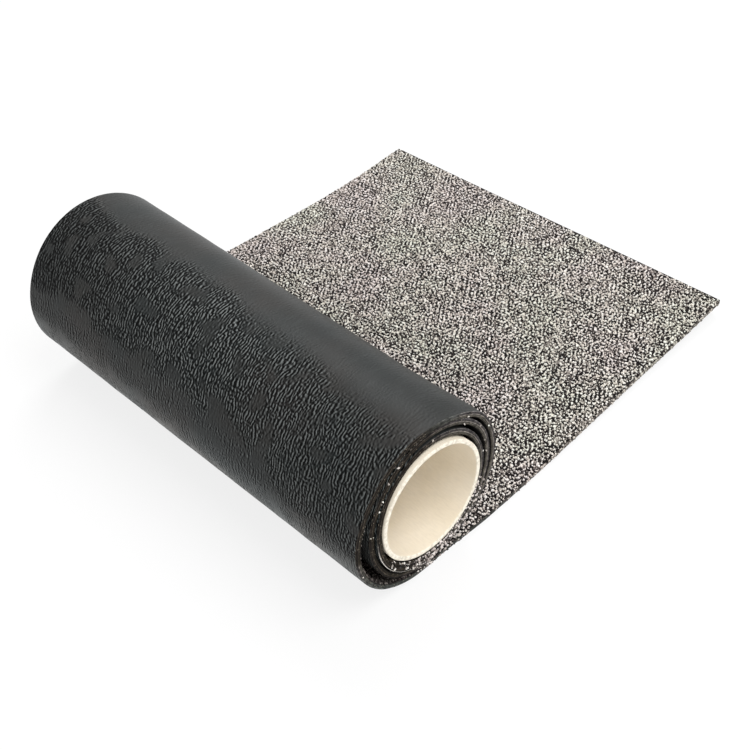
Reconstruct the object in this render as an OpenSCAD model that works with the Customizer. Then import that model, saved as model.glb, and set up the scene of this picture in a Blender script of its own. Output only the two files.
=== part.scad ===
// Roll of mineral roofing felt: one strip wound on a paper core,
// with its outer end laid out flat on the floor.
// The core's axis is X, the laid-out end points to +Y and Z is up.
// The origin is under the middle of the whole part, on the floor.

/* [Felt strip] */
// Width of the strip, which is the length of the roll
strip_w = 333; // [200:1:500]
// Thickness of the felt with its granules
strip_t = 3.8; // [2.5:0.1:5]
// From the core's axis to the cut end of the laid-out stretch
laid_l = 309; // [150:1:500]

/* [Winding] */
// Turns wound round the core, the loose one outside included
turns = 3; // [2:1:5]
// Air between one turn and the next
turn_gap = 0.8; // [0.2:0.1:1.5]
// Extra air under the loose outer turn at the top of the roll
top_gap = 3.2; // [1:0.1:5]
// Extra radius of the loose turn at the back of the roll
slack = 7; // [3:0.5:10]

/* [Paper core] */
// Bore of the core
core_bore = 75; // [50:0.1:110]
// Wall of the core
core_wall = 3; // [2:0.1:8]
// How far the core stands out of the felt at each end
core_proud = 2.5; // [0:0.5:10]
// Clearance between the core and the first turn
core_gap = 0.3; // [0.2:0.05:0.6]

/* [Hidden] */
$fn = 96;

pitch = strip_t + turn_gap;
core_r = core_bore / 2 + core_wall;
core_l = strip_w + 2 * core_proud;

// The innermost turn's inside radius, and that of the outer turn
// where it starts at the bottom
seat_r = core_r + core_gap;
outer_r = seat_r + (turns - 1) * pitch;

// The axis is one strip and all the turns above the floor
axis_z = strip_t + turns * pitch + seat_r;

// The loose turn goes round the front on a half circle
front_r = outer_r + top_gap / 2;
front_z = axis_z + top_gap / 2;

// It leaves the top of the roll on a wide quarter
// and comes down to the floor on a narrower one
crown_r = front_r + slack;
crown_z = front_z + front_r - crown_r;
heel_r = crown_z - strip_t;
heel_y = heel_r - crown_r;

// The roll's back and the cut end set the middle of the part
back_y = -crown_r - strip_t;
mid_y = (back_y + laid_l) / 2;

// Half a ring of felt, to the right of the axis
module half_turn(r) {
    intersection() {
        ring(r);
        translate([0, -r - strip_t]) square([r + strip_t, 2 * (r + strip_t)]);
    }
}

// A quarter of a ring of felt to the left of its centre,
// the upper quarter with side 1 and the lower with side -1
module quarter_turn(r, side) {
    reach = r + strip_t;
    intersection() {
        ring(r);
        translate([-reach, side > 0 ? 0 : -reach]) square(reach);
    }
}

module ring(r) {
    difference() {
        circle(r + strip_t);
        circle(r);
    }
}

// One tight turn: round the front, over the top, down the back,
// where it climbs by a pitch, and under the turns inside it
module tight_turn(r) {
    translate([0, axis_z]) half_turn(r);
    translate([0, axis_z]) quarter_turn(r, 1);
    translate([-r - strip_t, axis_z - pitch]) square([strip_t, pitch]);
    translate([0, axis_z - pitch]) quarter_turn(r, -1);
}

// The loose outer turn and the stretch laid out on the floor
module loose_turn() {
    translate([0, front_z]) half_turn(front_r);
    translate([0, crown_z]) quarter_turn(crown_r, 1);
    translate([heel_y, crown_z]) quarter_turn(heel_r, -1);
    translate([heel_y, 0]) square([laid_l - heel_y, strip_t]);
}

// Places a section drawn across the roll along its axis
module along_axis(length) {
    translate([0, -mid_y, 0])
        rotate([90, 0, 90])
            linear_extrude(height = length, center = true)
                children();
}

module felt_strip() {
    color([0.30, 0.32, 0.33])
        along_axis(strip_w)
            union() {
                for (k = [0 : turns - 2]) tight_turn(seat_r + k * pitch);
                loose_turn();
            }
}

module core_tube() {
    color([0.87, 0.80, 0.68])
        translate([0, -mid_y, axis_z])
            rotate([0, 90, 0])
                difference() {
                    cylinder(r = core_r, h = core_l, center = true);
                    cylinder(d = core_bore, h = core_l + 2, center = true);
                }
}

felt_strip();
core_tube();
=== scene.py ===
"""A roll of mineral roofing felt on a paper core, with its outer end laid out flat.

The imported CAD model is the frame. The strip, the core and the loose granules are built over it
in metres, with +X along the core's axis and +Y towards the cut end of the laid-out stretch.
The near end is at +X. The roll's front is its side by the laid-out stretch, and angles round
the roll are in degrees from the front over the top. A place on the strip is s along it from
its inner end, x across it, and a depth from its mineral face towards its film.
"""

import math

import bpy
import numpy as np
from mathutils import Matrix, Vector


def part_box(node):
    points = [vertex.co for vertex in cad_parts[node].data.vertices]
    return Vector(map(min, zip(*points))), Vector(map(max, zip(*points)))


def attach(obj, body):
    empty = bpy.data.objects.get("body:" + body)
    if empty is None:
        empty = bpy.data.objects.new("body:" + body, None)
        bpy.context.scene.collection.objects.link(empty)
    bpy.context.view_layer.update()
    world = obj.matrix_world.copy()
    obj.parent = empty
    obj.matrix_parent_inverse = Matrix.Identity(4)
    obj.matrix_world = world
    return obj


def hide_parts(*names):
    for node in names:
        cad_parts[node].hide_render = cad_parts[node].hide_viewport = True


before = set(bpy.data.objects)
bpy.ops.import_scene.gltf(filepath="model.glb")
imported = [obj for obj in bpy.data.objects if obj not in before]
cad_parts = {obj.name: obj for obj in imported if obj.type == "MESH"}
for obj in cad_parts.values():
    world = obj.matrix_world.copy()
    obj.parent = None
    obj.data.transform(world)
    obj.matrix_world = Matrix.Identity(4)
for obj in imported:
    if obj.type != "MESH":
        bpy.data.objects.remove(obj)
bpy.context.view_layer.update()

# Sizes that come from the frame

felt_low, felt_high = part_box("felt_strip")
core_low, core_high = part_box("core_tube")
STRIP_W = felt_high.x - felt_low.x
HALF_W = STRIP_W / 2
CORE_L = core_high.x - core_low.x
CORE_R = (core_high.z - core_low.z) / 2
AXIS_Y = (core_low.y + core_high.y) / 2
AXIS_Z = (core_low.z + core_high.z) / 2
LAID_L = felt_high.y - AXIS_Y

# The section, as the part's source has it

STRIP_T = 0.0038
TURNS = 3
TURN_GAP = 0.0008
TOP_GAP = 0.0032
SLACK = 0.007
CORE_WALL = 0.003
CORE_GAP = 0.0003
PITCH = STRIP_T + TURN_GAP
BORE_R = CORE_R - CORE_WALL
SEAT_R = CORE_R + CORE_GAP
OUTER_R = SEAT_R + (TURNS - 1) * PITCH
FRONT_R = OUTER_R + TOP_GAP / 2
FRONT_Z = AXIS_Z + TOP_GAP / 2
CROWN_R = FRONT_R + SLACK
CROWN_Z = FRONT_Z + FRONT_R - CROWN_R
HEEL_R = CROWN_Z - STRIP_T
HEEL_Y = HEEL_R - CROWN_R

# How the real strip differs from the ideal section. An arc of the roll is its middle, how far
# it is even on either side and over how much more it fades. An array has a value per turn,
# from the innermost out.

# Every turn is wider at its front and top, at the far end more than at the near one
GROWTH_ARC = (40, 50, 80)
FAR_GROWTH = np.array([0.0012, 0.0028, 0.00435])
NEAR_GROWTH = np.array([0.0009, 0.0014, 0.0003])

# The loose turn's back stands out at the far end and in at the near one, and its heel lies in
BACK_ARC = (180, 10, 80)
FAR_BACK = 0.0006
NEAR_BACK = -0.0019
HEEL_ARC = (220, 10, 40)
HEEL_IN = 0.0008

# At the near end the loose turn bulges at its front, and its rim is tucked in above that
BULGE_ARC = (5, 25, 40)
BULGE = 0.0015
BULGE_REACH = 0.060
TUCK_ARC = (72, 10, 30)
TUCK = -0.0017
TUCK_REACH = 0.018

# There the two inner turns also sag at the foot of the roll and stand out at its upper front
SAG_ARC = (246, 12, 28)
SAG = np.array([0.0006, 0.0018, 0.0])
PACK_ARC = (60, 35, 50)
PACK = np.array([0.0005, 0.0018, 0.0])
SAG_REACH = 0.050

# The loose turn sways in and out a little, in bumps of this size across and along the strip
SWAY_ARC = (40, 90, 40)
SWAY = 0.00022
SWAY_SIZE = (0.085, 0.060)

# The inner end laps this many degrees further under the core, and thins towards its tip
INNER_LAP = 62
TIP_THICKNESS = 0.58
TIP_LENGTH = 0.024

# The inner turns stand out at the near end, most at one angle, up to a place along the strip
SKEW = 0.0011
SKEW_TO = 235
SKEW_END = 0.30
SKEW_FADE = 0.27

# The wound long edges wander sideways, and the near one bows out along the laid-out stretch
SIDE_WANDER = 0.0003
WANDER_SIZE = (0.16, 1)
WANDER_FADE = 0.1
EDGE_BOW = 0.0023
BOW_RISE = 0.050
BOW_END = 0.060
BOW_FALL = 0.170

# The laid-out stretch lifts along its far long edge, curls up at its cut end and waves
LIFT = 0.0099
LIFT_RISE = 0.060
LIFT_FALL = 0.210
CURL = 0.0069
CURL_START = 0.100
WAVE = 0.0004
WAVE_SIZE = (0.11, 0.09)
WAVE_START = 0.07
WAVE_RISE = 0.05


def smooth(value):
    """Nought below 0, one above 1 and a smooth step between."""
    value = np.clip(value, 0.0, 1.0)
    return value * value * (3 - 2 * value)


def noise(u, v, size, seed):
    """Smooth noise from about -1 to 1 over u and v, with one bump to each size of the two."""
    lattice = 256
    angle = np.random.default_rng(seed).uniform(0, 2 * np.pi, (lattice, lattice))
    u = u / size[0]
    v = v / size[1]
    column = np.floor(u).astype(int)
    row = np.floor(v).astype(int)
    fu = u - column
    fv = v - row

    def corner(du, dv):
        turn = angle[(column + du) % lattice, (row + dv) % lattice]
        return np.cos(turn) * (fu - du) + np.sin(turn) * (fv - dv)

    wu = smooth(fu)
    wv = smooth(fv)
    low = corner(0, 0) * (1 - wu) + corner(1, 0) * wu
    high = corner(0, 1) * (1 - wu) + corner(1, 1) * wu
    return 1.5 * (low * (1 - wv) + high * wv)


# The run of the strip, from its inner end outward


def arc(y, z, radius, start, end):
    """A stretch bent round (y, z), by the angles of its mineral face in degrees."""
    start = math.radians(start)
    end = math.radians(end)
    return (y, z, 0.0, 0.0, radius, start, end, (radius + STRIP_T / 2) * (end - start))


def straight(y, z, dy, dz, radius, angle):
    """A stretch that keeps its angle while the centre of its bend moves from (y, z)."""
    angle = math.radians(angle)
    return (y, z, dy, dz, radius, angle, angle, math.hypot(dy, dz))


def run_of_strip():
    """Every arc and straight stretch of the strip's section, each with its length last."""
    run = []
    for turn in range(TURNS - 1):
        radius = SEAT_R + turn * PITCH
        lap = INNER_LAP if turn == 0 else 0
        run.append(arc(0, AXIS_Z, radius, -90 - lap, 180))
        run.append(straight(0, AXIS_Z, 0, -PITCH, radius, 180))
        run.append(arc(0, AXIS_Z - PITCH, radius, 180, 270))
    run.append(arc(0, FRONT_Z, FRONT_R, -90, 90))
    run.append(arc(0, CROWN_Z, CROWN_R, 90, 180))
    run.append(arc(HEEL_Y, CROWN_Z, HEEL_R, 180, 270))
    run.append(straight(HEEL_Y, CROWN_Z, LAID_L - HEEL_Y, 0, HEEL_R, 270))
    return np.array(run)


RUN = run_of_strip()
RUN_LENGTHS = RUN[:, -1]
RUN_ENDS = np.cumsum(RUN_LENGTHS)
RUN_STARTS = RUN_ENDS - RUN_LENGTHS
STRIP_L = RUN_ENDS[-1]
SECOND_START = RUN_STARTS[3]
LOOSE_START, CROWN_START, HEEL_START, LAID_START = RUN_STARTS[-4:]
TURN_STARTS = np.array([0.0, SECOND_START, LOOSE_START])
BAND_MIDDLE = CROWN_START + 0.45 * RUN_LENGTHS[-3]


def laid(y):
    """The place along the strip that is y from the core's axis, on the laid-out stretch."""
    return LAID_START + y - HEEL_Y


def section(s):
    """Place and outward direction of the mineral face at s, across the core's axis."""
    piece = np.clip(np.searchsorted(RUN_ENDS, s), 0, len(RUN) - 1)
    y, z, dy, dz, radius, start, end, length = RUN[piece].T
    share = (s - RUN_STARTS[piece]) / length
    angle = start + (end - start) * share
    place_y = y + dy * share + radius * np.cos(angle)
    place_z = z + dz * share + radius * np.sin(angle)
    return place_y, place_z, np.cos(angle), np.sin(angle)


def bend_angle(s):
    """The angle round the roll at s."""
    out_y, out_z = section(s)[2:]
    return np.degrees(np.arctan2(out_z, out_y)) % 360


def hump(angle, middle, even, fade):
    """One within even degrees of middle, and a smooth step down to nought over fade more."""
    off = np.abs((angle - middle + 180) % 360 - 180)
    return smooth((even + fade - off) / fade)


def near_end(x, reach):
    """One at the near end of the roll, and a smooth step down to nought at reach from it."""
    return smooth((x - HALF_W + reach) / reach)


def winding_push(s, x, angle):
    """How far out a point of the wound turns lies from the ideal section."""
    across = 0.5 - x / STRIP_W
    turn = np.clip(np.searchsorted(TURN_STARTS, s, side="right") - 1, 0, TURNS - 1)
    growth = NEAR_GROWTH[turn] + (FAR_GROWTH - NEAR_GROWTH)[turn] * across
    growth = growth * hump(angle, *GROWTH_ARC)
    back = NEAR_BACK + (FAR_BACK - NEAR_BACK) * across
    back = back * hump(angle, *BACK_ARC) - HEEL_IN * hump(angle, *HEEL_ARC)
    bulge = BULGE * hump(angle, *BULGE_ARC) * near_end(x, BULGE_REACH)
    tuck = TUCK * hump(angle, *TUCK_ARC) * near_end(x, TUCK_REACH)
    sway = SWAY * noise(x, s, SWAY_SIZE, seed=11) * hump(angle, *SWAY_ARC)
    sag = SAG[turn] * hump(angle, *SAG_ARC) * near_end(x, SAG_REACH)
    sag = sag + PACK[turn] * hump(angle, *PACK_ARC) * near_end(x, SAG_REACH)
    return growth + sag + (back + bulge + tuck + sway) * (s > LOOSE_START)


def side_shift(s, x, angle, reach):
    """How far a point lies towards the near end from its x; reach is its y once laid out."""
    fade = smooth((LAID_START + WANDER_FADE / 2 - s) / WANDER_FADE)
    wander = SIDE_WANDER * noise(s, 0.5, WANDER_SIZE, seed=13) * fade
    skew = 1 + np.cos(np.radians(angle - SKEW_TO))
    skew = SKEW * skew * (1 - smooth((s - SKEW_END) / SKEW_FADE))
    bow = smooth(reach / BOW_RISE) * (1 - smooth((reach - BOW_END) / BOW_FALL))
    bow = EDGE_BOW * bow * np.clip(x / HALF_W, 0, 1) ** 2
    return wander + skew + bow


def laid_height(x, reach):
    """How high the laid-out stretch lies over the floor, at reach from the core's axis."""
    far_side = np.clip(-x / HALF_W, 0, 1) ** 2
    lift = LIFT * far_side * smooth(reach / LIFT_RISE)
    lift = lift * (1 - smooth((reach - LIFT_RISE) / LIFT_FALL))
    curl = CURL * (np.clip(reach - CURL_START, 0, None) / (LAID_L - CURL_START)) ** 2
    wave = WAVE * (1 + noise(x, reach, WAVE_SIZE, seed=12))
    wave = wave * smooth((reach - WAVE_START) / WAVE_RISE)
    return lift + curl + wave


def strip_point(s, x, depth):
    """Where a point of the strip is, as x, y and z."""
    y, z, out_y, out_z = section(s)
    depth = depth * (TIP_THICKNESS + (1 - TIP_THICKNESS) * smooth(s / TIP_LENGTH))
    y = y + out_y * depth
    z = z + out_z * depth
    wound = s < LAID_START
    angle = np.degrees(np.arctan2(z - FRONT_Z, y))
    push = winding_push(s, x, angle) * wound
    radius = np.hypot(y, z - FRONT_Z)
    y = y + push * y / radius
    z = z + push * (z - FRONT_Z) / radius
    reach = np.where(wound, 0.0, y)
    z = z + laid_height(x, reach)
    return np.stack([x + side_shift(s, x, angle, reach), y + AXIS_Y, z], axis=-1)


# The crumpled film: the size of its folds, the band where it is most crumpled, by its limits
# at the far end and how much lower they lie at the near one, and how strongly it is crumpled
# above the band, below it and in the gaps between patches

WRINKLE_SPACING = 0.0032
WRINKLE_HEIGHT = 0.00012
SWELL_HEIGHT = 0.00014
BAND_FIRST = 88
BAND_FIRST_DROP = 14
BAND_LAST = 146
BAND_LAST_DROP = 26
BELOW_FIRST = 150
BELOW_LAST = 262
CRUMPLE_ABOVE = 0.05
CRUMPLE_BELOW = 0.34
CRUMPLE_IN_GAPS = 0.22


def film_crumple(x, s):
    """The crumpled film's shape, from about -1 in its grooves to 1 on its crests."""
    drift = 1.3 * noise(x, s, (0.014, 0.022), seed=21) + 0.45 * noise(x, s, (0.005, 0.010), seed=22)
    ripple = np.sin(2 * np.pi * (x / WRINKLE_SPACING + drift))
    dash = smooth(0.60 + 1.3 * noise(x, s, (0.0048, 0.011), seed=23))
    bent = x + 0.0030 * noise(x, s, (0.012, 0.014), seed=27)
    ridged = 1 - 2.6 * np.abs(noise(bent, s, (0.0046, 0.013), seed=25))
    return 0.75 * ripple * dash + 0.55 * np.clip(ridged, -0.8, 1)


def film_strength(x, s):
    """How strongly the film is crumpled: most in a band at the roll's upper back.

    The band lies lower towards the near end, and both its limits wander.
    """
    angle = bend_angle(s)
    first = BAND_FIRST + BAND_FIRST_DROP * smooth((x - 0.010) / 0.100)
    first = first + 10 * noise(x, 0.3, (0.040, 1), seed=28)
    last = BAND_LAST + BAND_LAST_DROP * smooth((x - 0.050) / 0.080)
    last = last + 9 * noise(x, 0.7, (0.030, 1), seed=29)
    band = smooth((angle - first + 8) / 18) * (1 - smooth((angle - last + 8) / 20))
    below = smooth((angle - BELOW_FIRST) / 10) * smooth((BELOW_LAST - angle) / 30)
    below = CRUMPLE_BELOW * below
    patch = smooth(0.95 + 1.5 * noise(x, s, (0.015, 0.012), seed=24))
    patch = CRUMPLE_IN_GAPS + (1 - CRUMPLE_IN_GAPS) * patch
    return (CRUMPLE_ABOVE + np.maximum((1 - CRUMPLE_ABOVE) * band, below)) * patch


def film_relief(x, s):
    """How far the film stands over the strip's outer face, and how strongly it is crumpled."""
    strength = film_strength(x, s)
    swell = SWELL_HEIGHT * noise(x, s, (0.018, 0.024), seed=26)
    return WRINKLE_HEIGHT * film_crumple(x, s) * strength + swell, strength


# The strip's mesh

COARSE_COLUMNS = 40
FINE_COLUMNS = 412
FINE_ROWS = 160
LAID_ROWS = 80
INNER_ROW = 0.0036
ROW_GAP = 0.001
CORNER = 0.0005
EDGE_DEPTHS = np.array([0.965, 0.86, 0.68, 0.50, 0.32, 0.14, 0.035]) * STRIP_T
EDGE_INSETS = np.array([0.00014, 0.0, 0.0, 0.0, 0.0, 0.0, 0.00014])
EDGE_ROUGHNESS = 0.00022
EDGE_BUMPS = (0.0022, 0.0011)


def places_along():
    """Rows along the strip, each with its number of columns on the film's side."""
    inner = np.arange(0, LOOSE_START - 2 * ROW_GAP, INNER_ROW)
    loose = np.linspace(LOOSE_START + ROW_GAP, LAID_START - ROW_GAP, FINE_ROWS)
    outer = np.linspace(LAID_START + 3 * ROW_GAP, STRIP_L, LAID_ROWS)
    stretches = ((inner, COARSE_COLUMNS), (loose, FINE_COLUMNS), (outer, COARSE_COLUMNS))
    return [(s, columns) for places, columns in stretches for s in places]


def strip_row(s, columns):
    """One ring of points round the strip: film, near edge, mineral face, far edge."""
    film_x = np.linspace(CORNER - HALF_W, HALF_W - CORNER, columns + 1)
    bed_x = np.linspace(HALF_W - CORNER, CORNER - HALF_W, COARSE_COLUMNS + 1)
    relief, strength = film_relief(film_x, np.full_like(film_x, s))
    if columns != FINE_COLUMNS:
        relief = 0 * film_x
    ragged = np.abs(EDGE_ROUGHNESS * noise(s, EDGE_DEPTHS, EDGE_BUMPS, seed=31))
    near_x = HALF_W - EDGE_INSETS - ragged
    far_x = -HALF_W + EDGE_INSETS[::-1] + ragged
    x = np.concatenate([film_x, near_x, bed_x, far_x])
    depth = np.concatenate([STRIP_T + relief, EDGE_DEPTHS, 0 * bed_x, EDGE_DEPTHS[::-1]])
    crumple = np.concatenate([strength, np.zeros(len(x) - len(strength))])
    return np.stack([np.full_like(x, s), x, depth, crumple], axis=-1)


FILM, EDGE, BED = 0, 1, 2


def strip_faces(rows, starts):
    """Faces between neighbouring rows and over both cut ends, with their materials."""
    faces = []
    kinds = []
    edge_points = len(EDGE_DEPTHS)
    after_film = 2 * edge_points + COARSE_COLUMNS + 1
    for index in range(len(rows) - 1):
        here, there = rows[index][1], rows[index + 1][1]
        a, b = starts[index], starts[index + 1]
        if here == there:
            faces += [(a + i, b + i, b + i + 1, a + i + 1) for i in range(here)]
            kinds += [FILM] * here
        else:
            fewer = min(here, there)
            for i in range(fewer):
                first = range(i * here // fewer, (i + 1) * here // fewer + 1)
                last = range(i * there // fewer, (i + 1) * there // fewer + 1)
                faces.append([b + j for j in last] + [a + j for j in reversed(first)])
                kinds.append(FILM)
        ring_a = [a + here + i for i in range(after_film + 1)] + [a]
        ring_b = [b + there + i for i in range(after_film + 1)] + [b]
        for i in range(after_film + 1):
            faces.append((ring_a[i], ring_b[i], ring_b[i + 1], ring_a[i + 1]))
            on_bed = edge_points < i + 1 <= edge_points + COARSE_COLUMNS
            kinds.append(BED if on_bed else EDGE)
    for start, turned in ((starts[0], False), (starts[-1], True)):
        bed = start + COARSE_COLUMNS + edge_points + 1
        last = bed + COARSE_COLUMNS
        caps = [(start + i, start + i + 1, last - i - 1, last - i) for i in range(COARSE_COLUMNS)]
        caps.append(tuple(range(start + COARSE_COLUMNS, bed + 1)))
        caps.append(tuple(range(last, last + edge_points + 1)) + (start,))
        faces += [tuple(reversed(cap)) if turned else cap for cap in caps]
        kinds += [EDGE] * len(caps)
    return faces, kinds


# Where the cut edges look different: film-grey from the heel on and at one place on the loose
# turn, darker and browner at the back of the roll, gritty once laid out, and pale along a
# stretch of the innermost turn's lip, at its film

OUTER_FADE = 0.03
GREY_ARC = (76, 8, 14)
GREY_SHARE = 0.8
BACK_DARKENING_ARC = (165, 65, 40)
GRIT_START = 0.020
GRIT_FADE = 0.110
LIP_ARC = (228, 36, 16)
LIP_START = 0.1
LIP_DEPTH = 0.9


def grittiness(s):
    """Nought up to the start of the laid-out stretch, and a smooth step up to one on it."""
    return smooth((s - laid(GRIT_START)) / GRIT_FADE)


def give(mesh, name, values):
    """A value of the mesh's points, for its material to read."""
    mesh.attributes.new(name, "FLOAT", "POINT").data.foreach_set("value", values)


def give_edge_values(mesh, s, x, depth):
    """What the cut edge's material reads, beside how deep in the strip a point is."""
    angle = bend_angle(s)
    grey_corner = GREY_SHARE * hump(angle, *GREY_ARC) * (s > LOOSE_START) * (s < HEEL_START)
    innermost = (s > LIP_START) * (s < SECOND_START) * (x > 0)
    give(mesh, "outer", np.maximum(smooth((s - HEEL_START) / OUTER_FADE), grey_corner))
    give(mesh, "gritty", grittiness(s))
    give(mesh, "back_darkening", hump(angle, *BACK_DARKENING_ARC) * (s < HEEL_START))
    give(mesh, "lip", hump(angle, *LIP_ARC) * innermost * (depth > LIP_DEPTH * STRIP_T))


def make_strip(materials):
    """The whole felt strip as one closed mesh, with its run as UVs and its depth as ply."""
    rows = places_along()
    rings = [strip_row(s, columns) for s, columns in rows]
    starts = np.concatenate([[0], np.cumsum([len(ring) for ring in rings])]).tolist()
    points = np.concatenate(rings)
    faces, kinds = strip_faces(rows, starts[:-1])
    s, x, depth, crumple = points.T
    mesh = bpy.data.meshes.new("felt_strip_detail")
    mesh.from_pydata(strip_point(s, x, depth), [], faces)
    for material in materials:
        mesh.materials.append(material)
    mesh.polygons.foreach_set("material_index", kinds)
    mesh.polygons.foreach_set("use_smooth", [True] * len(faces))
    corners = np.empty(len(mesh.loops), int)
    mesh.loops.foreach_get("vertex_index", corners)
    layer = mesh.uv_layers.new(name="strip")
    layer.data.foreach_set("uv", np.stack([x[corners], s[corners]], axis=-1).ravel())
    give(mesh, "ply", np.clip(depth / STRIP_T, 0, 1))
    give(mesh, "crumple", crumple)
    give_edge_values(mesh, s, x, depth)
    mesh.update()
    return add_piece("felt_strip_detail", mesh)


def add_piece(name, mesh):
    """A piece of the object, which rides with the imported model."""
    piece = bpy.data.objects.new(name, mesh)
    bpy.context.scene.collection.objects.link(piece)
    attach(piece, "root")
    return piece


# Granules. A chip has four corners round its foot, which is sunk in the face, and four round
# its top, each off its even place by so much.

CHIP_FACES = ((3, 2, 1, 0), (4, 5, 6, 7), (0, 1, 5, 4), (1, 2, 6, 5), (2, 3, 7, 6), (3, 0, 4, 7))
CHIP_TURN = 0.22
CHIP_REACH = (0.78, 1.18)
CHIP_SHRINK = (0.42, 0.86)
CHIP_SLOPE = 0.55
CHIP_UNEVEN = 0.10
CHIP_TOPS = (0.2, 1.35)
SUNK = 0.00018

# They lie in a jittered honeycomb, and their shades come in spots

GRANULE_PITCH = 0.00156
HONEYCOMB_ROW = 0.866
JITTER = 0.20
GRANULE_R = 0.00088
GRANULE_R_SPREAD = 0.22
GRANULE_R_LIMITS = (0.0005, 0.0015)
GRANULE_HEIGHTS = (0.0002, 0.00085)
SPOT = 0.0029
SPOT_WAVES = 48
SPOT_SEED = 80
MIDDLE_TONE = 0.49
SPOT_TONE = 0.46
TONE_SPREAD = 0.08


def chip_corners(radius, height, rng):
    """Corners of crushed-stone chips: two ways along the face and one out of it."""
    count = len(radius)
    angle = rng.uniform(0, 2 * np.pi, (count, 1)) + np.arange(4) * np.pi / 2
    angle = angle + rng.normal(0, CHIP_TURN, (count, 4))
    reach = radius[:, None] * rng.uniform(*CHIP_REACH, (count, 4))
    shrink = rng.uniform(*CHIP_SHRINK, (count, 4))
    slope = rng.uniform(0, CHIP_SLOPE, (count, 1))
    slope = slope * np.cos(angle - rng.uniform(0, 2 * np.pi, (count, 1)))
    top = 0.85 + slope + rng.normal(0, CHIP_UNEVEN, (count, 4))
    top = height[:, None] * np.clip(top, *CHIP_TOPS)
    low = np.stack([reach * np.cos(angle), reach * np.sin(angle), np.full_like(reach, -SUNK)], -1)
    high = np.stack([shrink * low[..., 0], shrink * low[..., 1], top], -1)
    return np.concatenate([low, high], axis=1)


def make_chips(name, points, tone, material):
    """Chips as one mesh: points are their eight corners each, tone their shade."""
    count = len(tone)
    mesh = bpy.data.meshes.new(name)
    mesh.vertices.add(8 * count)
    mesh.vertices.foreach_set("co", points.ravel())
    corners = (np.array(CHIP_FACES)[None] + 8 * np.arange(count)[:, None, None]).ravel()
    mesh.loops.add(len(corners))
    mesh.loops.foreach_set("vertex_index", corners)
    mesh.polygons.add(6 * count)
    mesh.polygons.foreach_set("loop_start", np.arange(6 * count) * 4)
    mesh.polygons.foreach_set("loop_total", np.full(6 * count, 4))
    mesh.polygons.foreach_set("use_smooth", np.zeros(6 * count, bool))
    give(mesh, "tone", np.repeat(tone, 8))
    mesh.materials.append(material)
    mesh.update(calc_edges=True)
    mesh.validate()
    return add_piece(name, mesh)


def scatter(start, end, low, high, rng):
    """Places in a jittered honeycomb over a stretch of the strip, as s and x."""
    rows = int((end - start) / (GRANULE_PITCH * HONEYCOMB_ROW))
    columns = int((high - low) / GRANULE_PITCH)
    row = np.arange(rows)[:, None] + np.zeros(columns)
    column = np.arange(columns) + 0.5 * (row % 2)
    s = start + (end - start) * (row + 0.5) / rows
    x = low + (high - low) * (column + 0.25) / columns
    s = s + rng.normal(0, JITTER * GRANULE_PITCH, s.shape)
    x = x + rng.normal(0, JITTER * GRANULE_PITCH, x.shape)
    return np.clip(s.ravel(), start, end), np.clip(x.ravel(), low, high)


def spots(s, x):
    """Light and dark spots a few granules wide, as a value round 0 with a spread of 1."""
    rng = np.random.default_rng(SPOT_SEED)
    field = np.zeros(len(s))
    for way, size, start in rng.uniform(0, 1, (SPOT_WAVES, 3)):
        way = 2 * np.pi * way
        wave = 2 * np.pi / (SPOT * (0.85 + 0.35 * size))
        field += np.cos(wave * (s * np.cos(way) + x * np.sin(way)) + 2 * np.pi * start)
    return field / math.sqrt(SPOT_WAVES / 2)


def make_bed_granules(name, stretches, material, seed, brightest=1.0):
    """Granules pressed into the mineral face over stretches of (start, end, low x, high x)."""
    rng = np.random.default_rng(seed)
    places = [scatter(*stretch, rng) for stretch in stretches]
    s = np.concatenate([place[0] for place in places])
    x = np.concatenate([place[1] for place in places])
    tone = MIDDLE_TONE + SPOT_TONE * spots(s, x) + rng.normal(0, TONE_SPREAD, len(s))
    tone = np.clip(tone, 0, 1)
    radius = GRANULE_R * np.exp(rng.normal(0, GRANULE_R_SPREAD, len(s)))
    radius = np.clip(radius, *GRANULE_R_LIMITS)
    height = radius * rng.uniform(0.35, 0.60, len(s)) * (0.8 + 0.8 * tone)
    chips = chip_corners(radius, np.clip(height, *GRANULE_HEIGHTS), rng)
    ahead = np.clip(s[:, None] + chips[..., 0], 0, STRIP_L)
    across = np.clip(x[:, None] + chips[..., 1], -HALF_W, HALF_W)
    points = strip_point(ahead.ravel(), across.ravel(), -chips[..., 2].ravel())
    return make_chips(name, points, brightest * tone, material)


# Crumbs of bitumen and stone on the wound turns' cut edges: how likely one is in the arcs
# where they gather, elsewhere on the inner turns, on the loose turn, and where that meets
# the laid-out stretch

CRUMB_TRIES = 3000
UNDER_CORE_ARC = (290, 42, 12)
LOWER_BACK_ARC = (232, 20, 8)
LOWER_BACK_CHANCE = 0.22
UNDER_TURNS_ARC = (290, 28, 20)
STRAY_CHANCE = 0.018
LOOSE_CHANCE = 0.010
NIP_CHANCE = 0.6
NIP_START = LAID_START - 0.006

# Their sizes and shades, those of the granules spilt over the laid-out stretch's edges, and
# the share of both that is on the near edge

CRUMB_R = 0.00085
SMALL_CRUMB_R = 0.00070
CRUMB_R_SPREAD = 0.30
CRUMB_R_LIMITS = (0.00028, 0.0012)
CRUMB_HEIGHT = 0.0006
SPILT_TRIES = 1000
SPILT_R_LIMITS = (0.0005, 0.0014)
SPILT_TONES = (0, 0.62)
CRUMB_TONES = (0.10, 1.2)
NEAR_SHARE = 0.6


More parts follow.
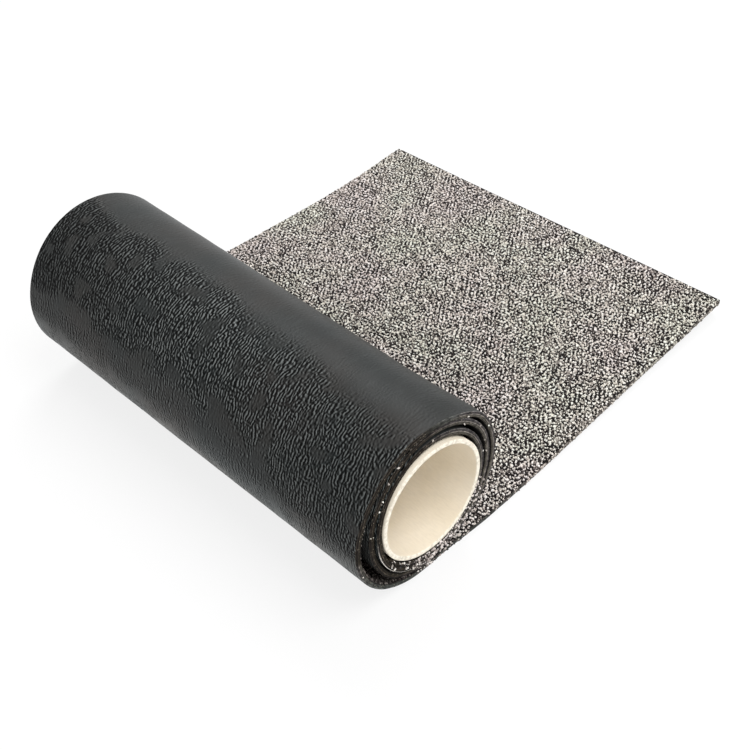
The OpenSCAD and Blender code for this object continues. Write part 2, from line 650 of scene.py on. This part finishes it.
def crumbs(rng):
    """Crumbs on the wound turns' cut edges, thickest under the core: s, depth and radius."""
    s = rng.uniform(0.001, laid(0.030), CRUMB_TRIES)
    angle = bend_angle(s)
    lower_back = LOWER_BACK_CHANCE * hump(angle, *LOWER_BACK_ARC)
    innermost = np.maximum(hump(angle, *UNDER_CORE_ARC), lower_back)
    under = np.where(s < SECOND_START, innermost, hump(angle, *UNDER_TURNS_ARC))
    chance = np.where(s < LOOSE_START, STRAY_CHANCE + (1 - STRAY_CHANCE) * under, LOOSE_CHANCE)
    chance = np.where(s > NIP_START, NIP_CHANCE, chance)
    kept = rng.uniform(0, 1, len(s)) < chance
    s = s[kept]
    depth = STRIP_T * rng.uniform(0.06, 0.94, len(s))
    size = np.where(under[kept] > 0, SMALL_CRUMB_R, CRUMB_R)
    radius = size * np.exp(rng.normal(0, CRUMB_R_SPREAD, len(s)))
    return s, depth, np.clip(radius, *CRUMB_R_LIMITS)


def spilt(rng):
    """Granules over the cut edges of the laid-out stretch: s, depth and radius."""
    s = rng.uniform(laid(GRIT_START), STRIP_L - 0.001, SPILT_TRIES)
    s = s[rng.uniform(0, 1, len(s)) < grittiness(s)]
    depth = STRIP_T * rng.uniform(0.04, 0.80, len(s))
    radius = CRUMB_R * np.exp(rng.normal(0, GRANULE_R_SPREAD, len(s)))
    return s, depth, np.clip(radius, *SPILT_R_LIMITS)


def make_edge_grains(name, material, seed):
    """Crumbs and granules stuck to the strip's two long cut edges."""
    rng = np.random.default_rng(seed)
    s, depth, radius = np.concatenate([crumbs(rng), spilt(rng)], axis=1)
    count = len(s)
    side = np.where(rng.uniform(0, 1, count) < NEAR_SHARE, 1.0, -1.0)
    chips = chip_corners(radius, np.minimum(0.8 * radius, CRUMB_HEIGHT), rng)
    ahead = np.clip(s[:, None] + chips[..., 0], 0, STRIP_L)
    deep = np.clip(depth[:, None] + chips[..., 1], 0, STRIP_T)
    across = side[:, None] * (HALF_W - 0.0001 + chips[..., 2])
    points = strip_point(ahead.ravel(), across.ravel(), deep.ravel())
    tone = np.where(s > laid(0), rng.uniform(*SPILT_TONES, count), rng.uniform(*CRUMB_TONES, count))
    return make_chips(name, points, np.clip(tone, 0, 1), material)


# The core, with a spiral seam between its plies that advances by a lay in each turn

CORE_COLUMNS = 160
CORE_ROWS = 44
RIM = 0.0007
RIM_POINTS = 5
PLY_LAY = 0.105
SEAM_WIDTH = 0.012
SEAM_DEPTH = 0.00012
CORE_WAVE = 0.00008
RIM_WAVE = 0.00015


def core_profile():
    """The tube's wall as places along the axis and radii, once round."""
    half = CORE_L / 2
    along = np.linspace(-half + 3 * RIM, half - 3 * RIM, CORE_ROWS)
    outside = [(x, CORE_R) for x in along]
    inside = [(x, BORE_R) for x in along[::-1]]
    rim = []
    for start, radius in ((90, CORE_R - RIM), (0, BORE_R + RIM)):
        for angle in np.radians(np.linspace(start, start - 90, RIM_POINTS)):
            rim.append((half - RIM + RIM * math.cos(angle), radius + RIM * math.sin(angle)))
    back = [(-x, radius) for x, radius in reversed(rim)]
    return np.array(outside + rim + inside + back)


def make_core(material):
    """The paper tube, slightly out of round, with the marks of its wound plies."""
    profile = core_profile()
    turn = 2 * np.pi * np.arange(CORE_COLUMNS) / CORE_COLUMNS
    x = profile[:, None, 0] + 0 * turn
    angle = turn + 0 * x
    lay = x / PLY_LAY + angle / (2 * np.pi)
    seam = np.abs((lay % 1.0) - 0.5)
    dent = -SEAM_DEPTH * smooth(1 - seam / SEAM_WIDTH)
    uneven = np.sin(angle / 2) ** 2
    wave = CORE_WAVE * noise(x, 2.5 * angle, (0.05, 1), seed=41) * uneven
    out_of_wall = np.where(profile[:, None, 1] < (CORE_R + BORE_R) / 2, -1.0, 1.0)
    radius = profile[:, None, 1] + out_of_wall * (dent + wave)
    on_rim = np.abs(profile[:, None, 0]) > CORE_L / 2 - RIM
    x = x + np.where(on_rim, RIM_WAVE * noise(6 * angle, radius, (1, 0.0006), seed=42) * uneven, 0)
    points = np.stack([x, AXIS_Y + radius * np.cos(angle), AXIS_Z + radius * np.sin(angle)], -1)
    rows = len(profile)
    faces = []
    for i in range(rows):
        a = i * CORE_COLUMNS
        b = (i + 1) % rows * CORE_COLUMNS
        for j in range(CORE_COLUMNS):
            k = (j + 1) % CORE_COLUMNS
            faces.append((a + j, b + j, b + k, a + k))
    mesh = bpy.data.meshes.new("core_tube_detail")
    mesh.from_pydata(points.reshape(-1, 3), [], faces)
    mesh.polygons.foreach_set("use_smooth", [True] * len(faces))
    mesh.materials.append(material)
    mesh.update()
    return add_piece("core_tube_detail", mesh)


# Nodes


def rgb(red, green, blue):
    """A screen colour, 0 to 255, as the linear colour that a shader takes."""
    channels = [channel / 255 for channel in (red, green, blue)]
    return tuple(c / 12.92 if c <= 0.04045 else ((c + 0.055) / 1.055) ** 2.4 for c in channels) + (1.0,)


def grey(value):
    """A plain linear grey."""
    return (value, value, value, 1.0)


def new_material(name, roughness, specular):
    """A named material with its node tree and its shader."""
    material = bpy.data.materials.new(name)
    material.use_nodes = True
    shader = material.node_tree.nodes["Principled BSDF"]
    shader.inputs["Roughness"].default_value = roughness
    shader.inputs["Specular IOR Level"].default_value = specular
    return material, material.node_tree, shader


def add_node(tree, kind, inputs=None, **settings):
    """A node with its settings, and its inputs as numbers or as links."""
    node = tree.nodes.new(kind)
    for name, value in settings.items():
        setattr(node, name, value)
    for name, value in (inputs or {}).items():
        if isinstance(value, bpy.types.NodeSocket):
            tree.links.new(value, node.inputs[name])
        else:
            node.inputs[name].default_value = value
    return node


def attribute(tree, name):
    """A value of the mesh's points."""
    return add_node(tree, "ShaderNodeAttribute", attribute_name=name).outputs["Fac"]


def place_on_object(tree):
    """The place on the object, in metres."""
    return add_node(tree, "ShaderNodeTexCoord").outputs["Object"]


def place_on_strip(tree):
    """The place on the strip, with x across it as X and s along it as Y."""
    return add_node(tree, "ShaderNodeUVMap", uv_map="strip").outputs["UV"]


def part_of(tree, vector, axis):
    """One number of a vector."""
    return add_node(tree, "ShaderNodeSeparateXYZ", {"Vector": vector}).outputs[axis]


def calc(tree, operation, *values):
    """A number worked out from numbers or links."""
    node = add_node(tree, "ShaderNodeMath", dict(enumerate(values)), operation=operation)
    return node.outputs["Value"]


def ramp(tree, factor, stops):
    """A colour ramp over factor, with stops of (place, colour or plain grey)."""
    node = add_node(tree, "ShaderNodeValToRGB", {"Fac": factor})
    while len(node.color_ramp.elements) < len(stops):
        node.color_ramp.elements.new(0.5)
    for element, (place, colour) in zip(node.color_ramp.elements, stops):
        element.position = place
        element.color = grey(colour) if isinstance(colour, float) else colour
    return node.outputs["Color"]


def blend(tree, factor, first, second, mode="MIX"):
    """Two colours mixed by factor."""
    node = add_node(tree, "ShaderNodeMix", data_type="RGBA", blend_type=mode)
    for socket, value in ((node.inputs[0], factor), (node.inputs[6], first), (node.inputs[7], second)):
        if isinstance(value, bpy.types.NodeSocket):
            tree.links.new(value, socket)
        else:
            socket.default_value = value
    return node.outputs[2]


def multiply(tree, first, second):
    """Two colours multiplied."""
    return blend(tree, 1.0, first, second, "MULTIPLY")


def grain(tree, vector, scale, detail=3.0, stretch=(1, 1, 1)):
    """Fractal noise at scale bumps to a metre, drawn out by stretch."""
    mapping = add_node(tree, "ShaderNodeMapping", {"Vector": vector, "Scale": stretch})
    inputs = {"Vector": mapping.outputs["Vector"], "Scale": scale, "Detail": detail}
    return add_node(tree, "ShaderNodeTexNoise", inputs).outputs["Fac"]


def bump(tree, height, distance):
    """Relief from a height map, distance metres deep."""
    return add_node(tree, "ShaderNodeBump", {"Height": height, "Distance": distance}).outputs["Normal"]


# The film's look. A set of folds has its spacing, the length of its bursts, how much their
# direction spreads and how far it is turned, in degrees.

MAIN_FOLDS = (0.00245, 0.0040, 0.14, -6)
SMALL_FOLDS = (0.00225, 0.0030, 0.30, -14)
CROSS_FOLDS = (0.0025, 0.0033, 0.40, -62)
SMALL_FOLDS_SHARE = 0.6
CROSS_FOLDS_SHARE = 0.5
FOLD_CONTRAST = 2.3
FOLD_BEND = 0.005
CLOSING = 0.25
FOLD_DEPTH = 0.0008
CREASE_DEPTH = 0.00008
ORIENTATION_SOCKET = 4


def folds(tree, run, spacing, length, spread, turn):
    """Ripples of the film, spacing apart, in bursts of about length, around 0."""
    gabor = add_node(tree, "ShaderNodeTexGabor", {
        "Vector": run,
        "Scale": 1 / length,
        "Frequency": length / spacing,
        "Anisotropy": 1 - spread,
        ORIENTATION_SOCKET: math.radians(turn),
    })
    return calc(tree, "SUBTRACT", gabor.outputs["Value"], 0.5)


def crumpled(tree, run, x, crumple):
    """The crumpled film's height, 0.5 where it is smooth; the folds close up to the near end."""
    middle = (0, BAND_MIDDLE, 0)
    from_middle = add_node(tree, "ShaderNodeVectorMath", {0: run, 1: middle}, operation="SUBTRACT")
    closer = add_node(tree, "ShaderNodeVectorMath", {
        0: from_middle.outputs["Vector"],
        "Scale": calc(tree, "MULTIPLY_ADD", x, CLOSING, 1.0),
    }, operation="SCALE")
    drift = add_node(tree, "ShaderNodeTexNoise", {"Vector": run, "Scale": 60.0, "Detail": 2.0})
    bent = add_node(tree, "ShaderNodeVectorMath", {
        0: drift.outputs["Color"],
        1: (FOLD_BEND, FOLD_BEND, 0),
        2: closer.outputs["Vector"],
    }, operation="MULTIPLY_ADD").outputs["Vector"]
    main_folds = folds(tree, bent, *MAIN_FOLDS)
    small_folds = folds(tree, bent, *SMALL_FOLDS)
    cross_folds = folds(tree, bent, *CROSS_FOLDS)
    uneven = calc(tree, "MULTIPLY_ADD", small_folds, SMALL_FOLDS_SHARE, main_folds)
    crossed = calc(tree, "MULTIPLY_ADD", cross_folds, CROSS_FOLDS_SHARE, uneven)
    relief = calc(tree, "MULTIPLY", crossed, crumple)
    return calc(tree, "MULTIPLY_ADD", relief, FOLD_CONTRAST, 0.5)


def film_colour(tree, run, across, crumple):
    """The film's colour: taut or crumpled, with faint teal and brown patches.

    Taut film is painted paler low on the roll, a painted reflection of the white floor, and crumpled
    film is darker towards the far end.
    """
    patches = grain(tree, run, 14.0)
    taut = ramp(tree, patches, (
        (0.30, rgb(91, 97, 97)),
        (0.46, rgb(97, 100, 99)),
        (0.56, rgb(101, 101, 99)),
        (0.70, rgb(107, 104, 101)),
    ))
    dark = ramp(tree, patches, (
        (0.30, rgb(29, 36, 37)),
        (0.46, rgb(35, 38, 38)),
        (0.56, rgb(39, 40, 39)),
        (0.70, rgb(46, 43, 42)),
    ))
    # This ramp covers 0.2 m along the strip, with the band's middle at 0.3. It is a painted reflection:
    # taut film is painted pale below the band.
    below_band = calc(tree, "SUBTRACT", part_of(tree, run, "Y"), BAND_MIDDLE)
    painted_floor_reflection = ramp(tree, calc(tree, "MULTIPLY_ADD", below_band, 5.0, 0.3), (
        (0.10, 0.26),
        (0.30, 0.24),
        (0.50, 0.31),
        (0.62, 1.0),
    ))
    nearer = ramp(tree, across, ((0.38, 0.12), (0.50, 0.58), (0.62, 1.0)))
    creased = ramp(tree, crumple, ((0.32, 0.0), (0.66, 1.0)))
    base = blend(tree, creased, multiply(tree, taut, painted_floor_reflection), multiply(tree, dark, nearer))
    scuffs = grain(tree, run, 260.0, detail=4.0, stretch=(1, 0.35, 1))
    marks = ramp(tree, scuffs, ((0.50, 0.0), (0.80, 0.25)))
    return blend(tree, marks, base, rgb(72, 76, 76))


def film_material():
    """Dark film with folds, with painted shade in their grooves and a painted highlight on their
    crests.
    """
    material, tree, shader = new_material("felt_film", roughness=0.36, specular=0.08)
    run = place_on_strip(tree)
    x = part_of(tree, run, "X")
    # Ramps over this cover a metre across the strip, with its middle at 0.5
    across = calc(tree, "ADD", x, 0.5)
    crumple = attribute(tree, "crumple")
    height = crumpled(tree, run, x, crumple)
    # Painted shade: the film's colour is darkened in the grooves of its folds.
    painted_groove_shade = ramp(tree, height, ((0.30, 0.02), (0.54, 1.0)))
    film_with_painted_groove_shade = multiply(tree, film_colour(tree, run, across, crumple), painted_groove_shade)
    # Painted highlight: the crests of the folds are painted pale grey, most in the middle of the strip.
    painted_crest_highlight = ramp(tree, height, ((0.56, 0.0), (0.96, 1.0)))
    crest_highlight_across = ramp(tree, across, ((0.35, 0.40), (0.50, 1.0), (0.65, 0.60)))
    colour = blend(tree, multiply(tree, painted_crest_highlight, crest_highlight_across), film_with_painted_groove_shade, rgb(118, 122, 121))
    tree.links.new(colour, shader.inputs["Base Color"])
    gloss = ramp(tree, height, ((0.30, 0.75), (0.52, 0.36)))
    tree.links.new(gloss, shader.inputs["Roughness"])
    creases = add_node(tree, "ShaderNodeBump", {
        "Height": grain(tree, run, 900.0, detail=3.0, stretch=(1, 0.12, 1)),
        "Distance": CREASE_DEPTH,
        "Normal": bump(tree, height, FOLD_DEPTH),
    })
    tree.links.new(creases.outputs["Normal"], shader.inputs["Normal"])
    return material


# The other materials


def cut_layers(tree, place, ply, outer):
    """The plies of the cut edge: strong ones on the wound turns, fainter ones from the heel on."""
    wander = grain(tree, place, 420.0)
    depth = calc(tree, "MULTIPLY", calc(tree, "MULTIPLY_ADD", wander, 0.16, ply), 0.86)
    inner_layers = ramp(tree, depth, (
        (0.08, rgb(92, 88, 79)),
        (0.17, rgb(18, 16, 14)),
        (0.30, rgb(92, 88, 80)),
        (0.40, rgb(14, 13, 12)),
        (0.54, rgb(122, 116, 110)),
        (0.66, rgb(18, 16, 17)),
        (0.78, rgb(72, 68, 69)),
        (0.86, rgb(14, 13, 14)),
        (0.94, rgb(134, 130, 128)),
    ))
    outer_layers = ramp(tree, depth, (
        (0.07, rgb(58, 56, 52)),
        (0.20, rgb(28, 27, 25)),
        (0.36, rgb(72, 74, 70)),
        (0.56, rgb(46, 48, 46)),
        (0.78, rgb(84, 86, 83)),
    ))
    return blend(tree, outer, inner_layers, outer_layers)


def streaks_along(tree, ply, layers):
    """The plies darker and paler by turns along the strip, as the cut smeared them."""
    along = calc(tree, "MULTIPLY", part_of(tree, place_on_strip(tree), "Y"), 60.0)
    drawn = add_node(tree, "ShaderNodeCombineXYZ", {"X": ply, "Y": along}).outputs["Vector"]
    streak = ramp(tree, grain(tree, drawn, 5.0), ((0.38, 0.30), (0.50, 0.55), (0.64, 1.0)))
    return blend(tree, streak, multiply(tree, layers, grey(0.45)), multiply(tree, layers, grey(1.9)))


def edge_material():
    """The cut edge: layered bitumen where it is wound, and grit where it is laid out."""
    material, tree, shader = new_material("felt_edge", roughness=0.75, specular=0.08)
    place = place_on_object(tree)
    ply, outer, gritty, lip, back_darkening = (
        attribute(tree, name) for name in ("ply", "outer", "gritty", "lip", "back_darkening")
    )
    streaked = streaks_along(tree, ply, cut_layers(tree, place, ply, outer))
    browned = multiply(tree, streaked, rgb(138, 130, 118))
    wound_edge = blend(tree, back_darkening, streaked, browned)
    grit = ramp(tree, grain(tree, place, 520.0), (
        (0.42, rgb(22, 20, 19)),
        (0.62, rgb(142, 136, 128)),
    ))
    dirt = ramp(tree, grain(tree, place, 260.0, detail=4.0), ((0.35, 0.45), (0.60, 1.0)))
    soiled = multiply(tree, blend(tree, gritty, wound_edge, grit), dirt)
    specks = add_node(tree, "ShaderNodeTexVoronoi", {"Vector": place, "Scale": 800.0})
    speck = ramp(tree, specks.outputs["Distance"], ((0.16, 1.0), (0.30, 0.0)))
    chance = ramp(tree, specks.outputs["Color"], ((0.60, 0.0), (0.66, 0.7)))
    speckled = blend(tree, multiply(tree, speck, chance), soiled, rgb(150, 140, 122))
    colour = blend(tree, lip, speckled, rgb(236, 230, 222))
    tree.links.new(colour, shader.inputs["Base Color"])
    tree.links.new(bump(tree, grain(tree, place, 1500.0, detail=4.0), 0.0003), shader.inputs["Normal"])
    return material


def bed_material():
    """Bitumen between the granules, full of fine grit, dustier towards the far end."""
    material, tree, shader = new_material("felt_bed", roughness=0.8, specular=0.08)
    place = place_on_object(tree)
    farther = add_node(tree, "ShaderNodeMapRange", {
        "Value": part_of(tree, place, "X"),
        "From Min": HALF_W,
        "From Max": -HALF_W,
    }).outputs["Result"]
    grit = grain(tree, place, 1100.0)
    clean = ramp(tree, grit, (
        (0.35, rgb(8, 7, 7)),
        (0.52, rgb(18, 16, 16)),
        (0.66, rgb(52, 48, 46)),
    ))
    dusty = ramp(tree, grit, (
        (0.35, rgb(20, 18, 18)),
        (0.52, rgb(40, 37, 36)),
        (0.66, rgb(92, 86, 82)),
    ))
    tree.links.new(blend(tree, farther, clean, dusty), shader.inputs["Base Color"])
    tree.links.new(bump(tree, grit, 0.0004), shader.inputs["Normal"])
    return material


def granule_material():
    """Crushed stone from black to cream, each chip of one shade, in faintly tinted patches."""
    material, tree, shader = new_material("felt_granules", roughness=0.85, specular=0.10)
    place = place_on_object(tree)
    shade = ramp(tree, attribute(tree, "tone"), (
        (0.00, rgb(30, 27, 27)),
        (0.14, rgb(78, 72, 70)),
        (0.30, rgb(152, 145, 140)),
        (0.48, rgb(218, 211, 203)),
        (0.68, rgb(244, 239, 230)),
        (1.00, rgb(255, 253, 248)),
    ))
    tint = ramp(tree, grain(tree, place, 16.0), (
        (0.36, rgb(249, 252, 246)),
        (0.50, rgb(253, 251, 249)),
        (0.64, rgb(251, 245, 247)),
    ))
    dulled = multiply(tree, multiply(tree, shade, tint), grey(0.92))
    dust = grain(tree, place, 2300.0, detail=2.0)
    worn = ramp(tree, dust, ((0.3, 0.84), (0.7, 1.0)))
    tree.links.new(multiply(tree, dulled, worn), shader.inputs["Base Color"])
    tree.links.new(bump(tree, dust, 0.00012), shader.inputs["Normal"])
    return material


def paper_material():
    """Plain wound paper with faint fibres, and the coarser pulp of its cut ends."""
    material, tree, shader = new_material("core_paper", roughness=0.75, specular=0.25)
    place = place_on_object(tree)
    fibres = grain(tree, place, 900.0, detail=4.0, stretch=(0.25, 1, 1))
    base = ramp(tree, grain(tree, place, 30.0), (
        (0.35, rgb(235, 223, 201)),
        (0.65, rgb(242, 232, 214)),
    ))
    flecks = ramp(tree, fibres, ((0.30, 0.95), (0.62, 1.0)))
    tube = multiply(tree, base, flecks)
    # This ramp covers the last centimetre of the tube, from its end inward
    from_middle = calc(tree, "ABSOLUTE", part_of(tree, place, "X"))
    to_end = calc(tree, "SUBTRACT", CORE_L / 2, from_middle)
    cut = ramp(tree, calc(tree, "MULTIPLY", to_end, 100.0), ((0.03, 1.0), (0.08, 0.0)))
    pulp = ramp(tree, grain(tree, place, 500.0, detail=4.0), (
        (0.35, rgb(214, 206, 189)),
        (0.60, rgb(240, 233, 218)),
    ))
    tree.links.new(blend(tree, cut, tube, pulp), shader.inputs["Base Color"])
    tree.links.new(bump(tree, fibres, 0.00006), shader.inputs["Normal"])
    return material


# Floor, light and camera

FLOOR_SIZE = 16
FLOOR_Z = -0.0002
WHITE_BY_OBJECT = 0.80
WORLD_LIGHT = 0.50
LIT_POINT = Vector((0, 0, 0.03))

CAMERA_AZIMUTH = math.radians(49.44)
CAMERA_ELEVATION = math.radians(43.10)
CAMERA_ROLL = math.radians(-6.01)
CAMERA_PLACE = Vector((0.46883, -0.41424, 0.55231))
CAMERA_LENS = 53.47
CAMERA_SENSOR = 36


def seen_directly(tree):
    """One for camera, glossy and transmission rays, nought for the rest."""
    path = add_node(tree, "ShaderNodeLightPath").outputs
    seen = calc(tree, "MAXIMUM", path["Is Camera Ray"], path["Is Glossy Ray"])
    return calc(tree, "MAXIMUM", seen, path["Is Transmission Ray"])


def make_floor():
    """A white floor that keeps the object's soft shadow and is plain white farther off."""
    bpy.ops.mesh.primitive_plane_add(size=FLOOR_SIZE, location=(0, 0, FLOOR_Z))
    floor = bpy.context.object
    floor.name = "floor"
    material, tree, shader = new_material("floor_white", roughness=0.9, specular=0.1)
    shader.inputs["Base Color"].default_value = rgb(238, 238, 238)
    white = add_node(tree, "ShaderNodeEmission")
    away = add_node(tree, "ShaderNodeVectorMath", {0: place_on_object(tree)}, operation="LENGTH")
    plain = add_node(tree, "ShaderNodeMapRange", {
        "Value": away.outputs["Value"],
        "From Min": 0.4,
        "From Max": 1.6,
        "To Min": WHITE_BY_OBJECT,
        "To Max": 1.0,
    })
    share = calc(tree, "MULTIPLY", seen_directly(tree), plain.outputs["Result"])
    mix = add_node(tree, "ShaderNodeMixShader", {
        0: share,
        1: shader.outputs["BSDF"],
        2: white.outputs["Emission"],
    })
    tree.links.new(mix.outputs["Shader"], tree.nodes["Material Output"].inputs["Surface"])
    floor.data.materials.append(material)


def make_world():
    """White to look at, and a dim even light for the rest."""
    world = bpy.data.worlds.new("studio")
    world.use_nodes = True
    tree = world.node_tree
    background = tree.nodes["Background"]
    background.inputs["Color"].default_value = (1, 1, 1, 1)
    strength = add_node(tree, "ShaderNodeMapRange", {
        "Value": seen_directly(tree),
        "To Min": WORLD_LIGHT,
        "To Max": 1.0,
    })
    tree.links.new(strength.outputs["Result"], background.inputs["Strength"])
    bpy.context.scene.world = world


def make_light(name, place, size, power):
    """A square soft light at place that points at the object."""
    lamp = bpy.data.lights.new(name, "AREA")
    lamp.shape = "SQUARE"
    lamp.size = size
    lamp.energy = power
    light = bpy.data.objects.new(name, lamp)
    light.location = place
    light.rotation_euler = (LIT_POINT - Vector(place)).to_track_quat("-Z", "Y").to_euler()
    bpy.context.scene.collection.objects.link(light)


def make_lights():
    """A key high over the near end, a light high beyond the cut end and a weak fill by the camera."""
    make_light("key", (1.0, 0.4, 2.0), size=1.5, power=34)
    make_light("back", (-0.9, 1.3, 1.8), size=1.3, power=30)
    make_light("near_fill", (1.6, -1.3, 1.1), size=1.0, power=10)


def make_camera():
    """The photograph's viewpoint."""
    flat = math.cos(CAMERA_ELEVATION)
    back = Vector((
        math.sin(CAMERA_AZIMUTH) * flat,
        -math.cos(CAMERA_AZIMUTH) * flat,
        math.sin(CAMERA_ELEVATION),
    ))
    right = (-back).cross(Vector((0, 0, 1))).normalized()
    up = right.cross(-back)
    camera_x = math.cos(CAMERA_ROLL) * right + math.sin(CAMERA_ROLL) * up
    camera_y = -math.sin(CAMERA_ROLL) * right + math.cos(CAMERA_ROLL) * up
    data = bpy.data.cameras.new("camera")
    data.lens = CAMERA_LENS
    data.sensor_width = CAMERA_SENSOR
    data.clip_start = 0.01
    camera = bpy.data.objects.new("camera", data)
    turn = Matrix((camera_x, camera_y, back)).transposed().to_4x4()
    camera.matrix_world = Matrix.Translation(CAMERA_PLACE) @ turn
    bpy.context.scene.collection.objects.link(camera)
    bpy.context.scene.camera = camera


# Where granules are made: the laid-out stretch in so many pieces, short of its edges, and the
# loose turn's inside at both ends of the roll, which can just be seen there and is in shade.
# There the granules' tones are darkened as painted shade.

LAID_PIECES = 3
BED_MARGIN = 0.0004
BED_STARTS = laid(0.004)
BED_ENDS = STRIP_L - 0.0008
INSIDE_STARTS = LOOSE_START + 0.16
INSIDE_ENDS = LAID_START + 0.012
INSIDE_REACH = 0.022
INSIDE_PAINTED_SHADE = 0.24


def main():
    """The studio, the strip, the core and the granules, with the imported strip and core hidden."""
    make_camera()
    make_world()
    make_floor()
    make_lights()
    bpy.context.scene.view_settings.view_transform = "Standard"

    granules = granule_material()
    strip = make_strip([film_material(), edge_material(), bed_material()])
    core = make_core(paper_material())

    half = HALF_W - BED_MARGIN
    limits = np.linspace(BED_STARTS, BED_ENDS, LAID_PIECES + 1)
    for index in range(LAID_PIECES):
        stretch = (limits[index], limits[index + 1], -half, half)
        name = f"granules_laid_{index + 1}"
        make_bed_granules(name, [stretch], granules, seed=50 + index)
    inside = (INSIDE_STARTS, INSIDE_ENDS)
    ends = [(*inside, half - INSIDE_REACH, half), (*inside, -half, -half + INSIDE_REACH)]
    # Painted shade: these granules' tones are scaled down to stand for the shade inside the roll.
    make_bed_granules("granules_inside", ends, granules, seed=60, brightest=INSIDE_PAINTED_SHADE)
    make_edge_grains("grains_on_edges", granules, seed=70)

    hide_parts("felt_strip")
    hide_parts("core_tube")


main()
